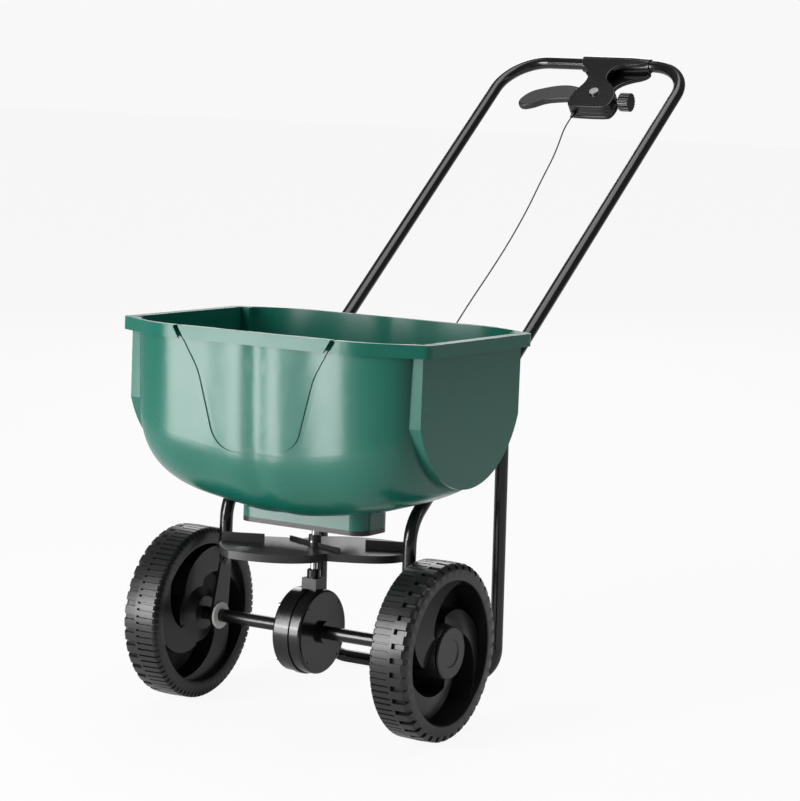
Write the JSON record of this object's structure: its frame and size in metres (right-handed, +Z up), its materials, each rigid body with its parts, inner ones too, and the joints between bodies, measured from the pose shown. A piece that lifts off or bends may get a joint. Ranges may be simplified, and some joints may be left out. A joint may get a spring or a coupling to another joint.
{
  "type": "lawn spreader",
  "caption": "Walk-behind broadcast spreader: a green hopper on two lugged wheels, an axle-driven impeller under its outlet, and a tube handle with a lever-worked shutter.",
  "frame": {"origin": "on the ground midway between the wheels, straight under the axle", "axes": "+X along the axle to the driven (operator's right) wheel, +Y back to the operator, +Z up"},
  "size_m": [0.506, 1.0142, 0.8932],
  "materials": {
    "green_plastic": "moulded polypropylene, dark green, soft gloss",
    "black_plastic": "moulded, satin black",
    "head_plastic": "moulded, glossy black",
    "gearbox_plastic": "moulded, glossy black",
    "wheel_plastic": "moulded, satin black-grey",
    "impeller_plastic": "moulded, dark grey",
    "lever_plastic": "moulded, grey-black, fine texture",
    "black_enamel": "powder coated steel tube, glossy black",
    "cable_black": "smooth black sheath",
    "white_nylon": "moulded nylon, off-white",
    "zinc": "zinc plated steel"
  },
  "bodies": {
    "frame": {"hopper": "green_plastic", "outlet_guide": "black_plastic", "cable_ferrule": "zinc", "hopper_screws": "zinc", "guide_screws": "zinc", "left_frame_tube": "black_enamel", "right_frame_tube": "black_enamel", "handle": "black_enamel", "rear_stand": "black_enamel", "frame_bolts": "zinc", "frame_nuts": "zinc", "right_axle_bush": "white_nylon", "left_axle_bush": "white_nylon", "gearbox_left": "gearbox_plastic", "gearbox_right": "gearbox_plastic", "gearbox_screws": "zinc", "head_front": "head_plastic", "head_back": "head_plastic", "lever_pin": "zinc", "cable_gland": "black_plastic", "control_cable": "cable_black"},
    "axle_set": {"axle": "black_enamel", "wheel_pins": "zinc", "axle_washers": "zinc", "drive_gear": "white_nylon", "gear_pin": "zinc", "right_wheel": "wheel_plastic", "right_hub_cap": "black_plastic"},
    "left_wheel_set": {"left_wheel": "wheel_plastic", "left_hub_cap": "black_plastic"},
    "impeller_set": {"impeller": "impeller_plastic", "impeller_pin": "zinc", "impeller_shaft": "zinc", "shaft_collar": "black_plastic", "pinion": "white_nylon", "agitator": "zinc"},
    "lever_set": {"lever": "lever_plastic"},
    "shutter_set": {"shutter": "black_plastic", "shutter_wire": "zinc"},
    "knob_set": {"rate_knob": "black_plastic"}
  },
  "joints": [
    {"name": "axle_spin", "type": "hinge", "parent": "frame", "child": "axle_set", "pos_m": [0, 0, 0.125], "axis": [1, 0, 0], "continuous": true},
    {"name": "left_wheel_spin", "type": "hinge", "parent": "frame", "child": "left_wheel_set", "pos_m": [-0.2, 0, 0.125], "axis": [1, 0, 0], "continuous": true},
    {"name": "impeller_spin", "type": "hinge", "parent": "frame", "child": "impeller_set", "pos_m": [0.006, 0, 0.125], "axis": [0, 0.0698, 0.9976], "continuous": true},
    {"name": "lever_pull", "type": "hinge", "parent": "frame", "child": "lever_set", "pos_m": [0.03, 0.79429, 0.82889], "axis": [0, 0.5721, -0.8202], "range_deg": [0, 26], "stiffness_Nm_per_rad": 0.6, "springref_deg": -20.05},
    {"name": "shutter_slide", "type": "slide", "parent": "frame", "child": "shutter_set", "axis": [0, 0.9976, -0.0698], "range_m": [0, 0.011]},
    {"name": "rate_knob_turn", "type": "hinge", "parent": "frame", "child": "knob_set", "pos_m": [0.08, 0.79018, 0.82603], "axis": [1, 0, 0], "range_deg": [0, 270]}
  ],
  "couplings": [
    {"joint": "impeller_spin", "follows": "axle_spin", "ratio": 4},
    {"joint": "shutter_slide", "follows": "lever_pull", "m_per_rad": 0.02424}
  ]
}
